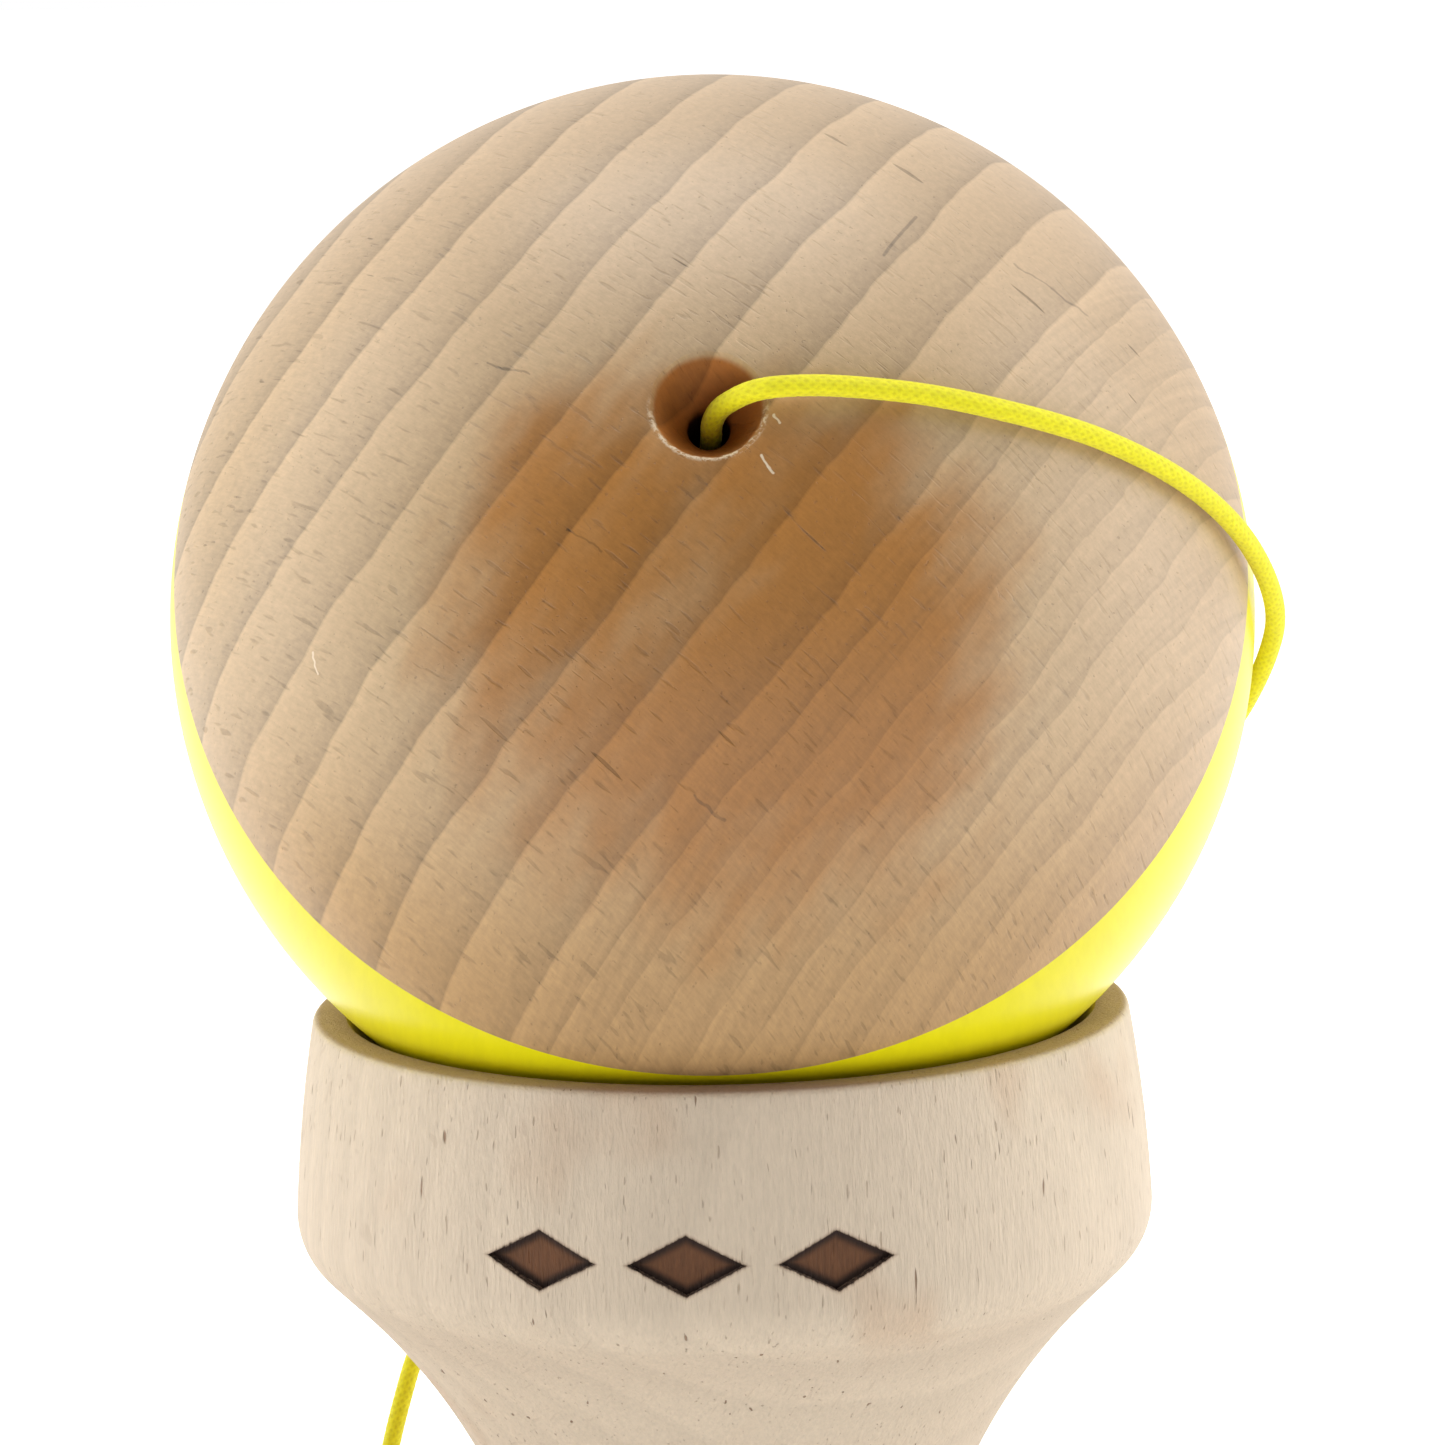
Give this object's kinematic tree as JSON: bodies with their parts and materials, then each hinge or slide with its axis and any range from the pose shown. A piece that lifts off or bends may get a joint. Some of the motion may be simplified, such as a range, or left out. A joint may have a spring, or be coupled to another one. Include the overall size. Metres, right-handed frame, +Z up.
{
  "type": "kendama",
  "caption": "Wooden cup-and-ball toy: a ball tied by a thin cord to a spiked handle with a crosspiece of cups, standing on a cup with the ball seated on top.",
  "frame": {"origin": "on the surface it stands on, under the middle of its length and width without the string", "axes": "+Z up along the crosspiece, +X along the handle towards the spike's tip, -Y towards the side that the ball's string hole faces"},
  "size_m": [0.165, 0.0817, 0.1257],
  "materials": {
    "tama_wood": "fine sanded beech, its far half painted gloss yellow",
    "pale_wood": "fine sanded pale beech",
    "bead_wood": "turned and unfinished",
    "string": "braided yellow cord"
  },
  "bodies": {
    "sarado": {"sarado": "pale_wood", "string_coil": "string", "string_ken_side": "string"},
    "ken": {"ken": "pale_wood", "ken_knot": "string"},
    "string": {"string_tama_side": "string"},
    "bead": {"bead": "bead_wood", "tama_knot": "string"},
    "tama": {"tama": "tama_wood"}
  },
  "joints": [
    {"name": "ken_draw", "type": "slide", "parent": "sarado", "child": "ken", "axis": [-1, 0, 0], "range_m": [0, 0.09], "deforming": ["string_ken_side"]},
    {"name": "tama_lift", "type": "slide", "parent": "sarado", "child": "string", "axis": [0, 0, 1], "range_m": [0, 0.04], "deforming": ["string_tama_side"]},
    {"name": "tama_roll", "type": "hinge", "parent": "string", "child": "bead", "pos_m": [0.018, 0, 0.09575], "axis": [-1, 0, 0], "range_deg": [-28, 60], "deforming": ["string_tama_side"]},
    {"name": "tama_spin", "type": "hinge", "parent": "bead", "child": "tama", "pos_m": [0.018, 0, 0.09575], "axis": [0, -0.8805, 0.4741], "continuous": true}
  ]
}
